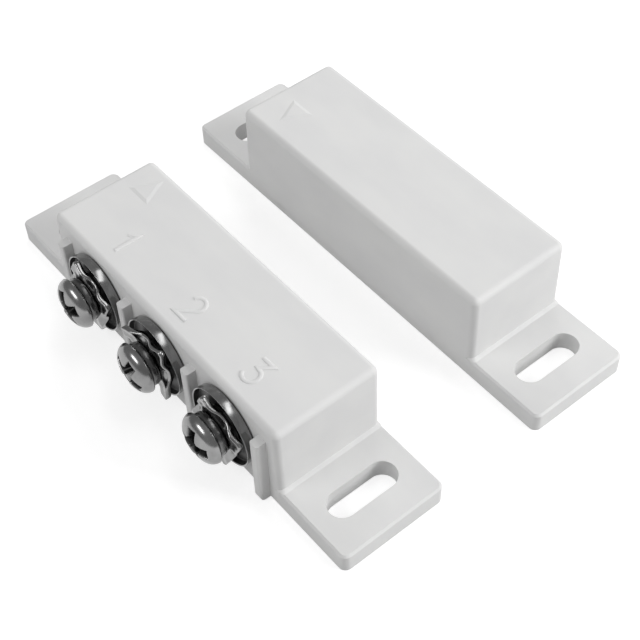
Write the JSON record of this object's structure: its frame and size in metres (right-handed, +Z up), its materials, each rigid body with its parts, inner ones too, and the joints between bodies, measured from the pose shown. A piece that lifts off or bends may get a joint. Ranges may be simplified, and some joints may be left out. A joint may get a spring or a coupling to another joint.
{
  "type": "surface-mounted magnetic window contact",
  "caption": "White two-part window contact: a switch half with screw terminals along one side, and a matching magnet half, both with slotted fixing flanges.",
  "frame": {"origin": "centre of the switch half's flat underside, where it meets the window frame", "axes": "+X along both halves, +Y from the switch half toward the magnet half with the screw terminals on the -Y side, +Z up away from the surface they are fixed to"},
  "size_m": [0.0642, 0.0471, 0.0127],
  "materials": {
    "white_plastic": "satin moulded ABS, near white",
    "base_plastic": "matt moulded ABS, near white",
    "terminal_steel": "nickel-plated steel",
    "screw_steel": "bright nickel-plated steel",
    "reed_alloy": "gold-flashed nickel iron",
    "reed_glass": "pale green sealing glass",
    "copper_wire": "bare copper",
    "magnet_alloy": "cast magnet alloy"
  },
  "bodies": {
    "housing": {"sensor_housing": "white_plastic", "sensor_base_plate": "base_plastic", "reed_glass": "reed_glass", "reed_common_lead": "reed_alloy", "reed_nc_blade": "reed_alloy", "reed_no_blade": "reed_alloy", "magnet_housing": "white_plastic", "magnet_base_plate": "base_plastic", "bar_magnet": "magnet_alloy", "link_wire_1": "copper_wire", "terminal_cup_1": "terminal_steel", "link_wire_2": "copper_wire", "terminal_cup_2": "terminal_steel", "link_wire_3": "copper_wire", "terminal_cup_3": "terminal_steel"},
    "washers_1": {"clamp_plate_1": "terminal_steel", "spring_washer_1": "terminal_steel"},
    "screw_1": {"terminal_screw_1": "screw_steel"},
    "washers_2": {"clamp_plate_2": "terminal_steel", "spring_washer_2": "terminal_steel"},
    "screw_2": {"terminal_screw_2": "screw_steel"},
    "washers_3": {"clamp_plate_3": "terminal_steel", "spring_washer_3": "terminal_steel"},
    "screw_3": {"terminal_screw_3": "screw_steel"},
    "armature": {"reed_armature": "reed_alloy"}
  },
  "joints": [
    {"name": "washers_1_slide", "type": "slide", "parent": "housing", "child": "washers_1", "axis": [0, -1, 0], "range_m": [0, 0.002]},
    {"name": "screw_1_turn", "type": "hinge", "parent": "washers_1", "child": "screw_1", "pos_m": [-0.01225, -0.01035, 0.0069], "axis": [0, -1, 0], "range_deg": [0, 1200]},
    {"name": "washers_2_slide", "type": "slide", "parent": "housing", "child": "washers_2", "axis": [0, -1, 0], "range_m": [0, 0.002]},
    {"name": "screw_2_turn", "type": "hinge", "parent": "washers_2", "child": "screw_2", "pos_m": [0.00025, -0.01035, 0.0069], "axis": [0, -1, 0], "range_deg": [0, 1200]},
    {"name": "washers_3_slide", "type": "slide", "parent": "housing", "child": "washers_3", "axis": [0, -1, 0], "range_m": [0, 0.002]},
    {"name": "screw_3_turn", "type": "hinge", "parent": "washers_3", "child": "screw_3", "pos_m": [0.01275, -0.01035, 0.0069], "axis": [0, -1, 0], "range_deg": [0, 1200]},
    {"name": "armature_swing", "type": "hinge", "parent": "housing", "child": "armature", "pos_m": [-0.0057, 0.003, 0.0085], "axis": [0, 0, 1], "range_deg": [0, 1.55], "stiffness_Nm_per_rad": 0.001, "springref_deg": -1.15}
  ],
  "couplings": [
    {"joint": "screw_1_turn", "follows": "washers_1_slide", "rad_per_m": 10472},
    {"joint": "screw_2_turn", "follows": "washers_2_slide", "rad_per_m": 10472},
    {"joint": "screw_3_turn", "follows": "washers_3_slide", "rad_per_m": 10472}
  ]
}
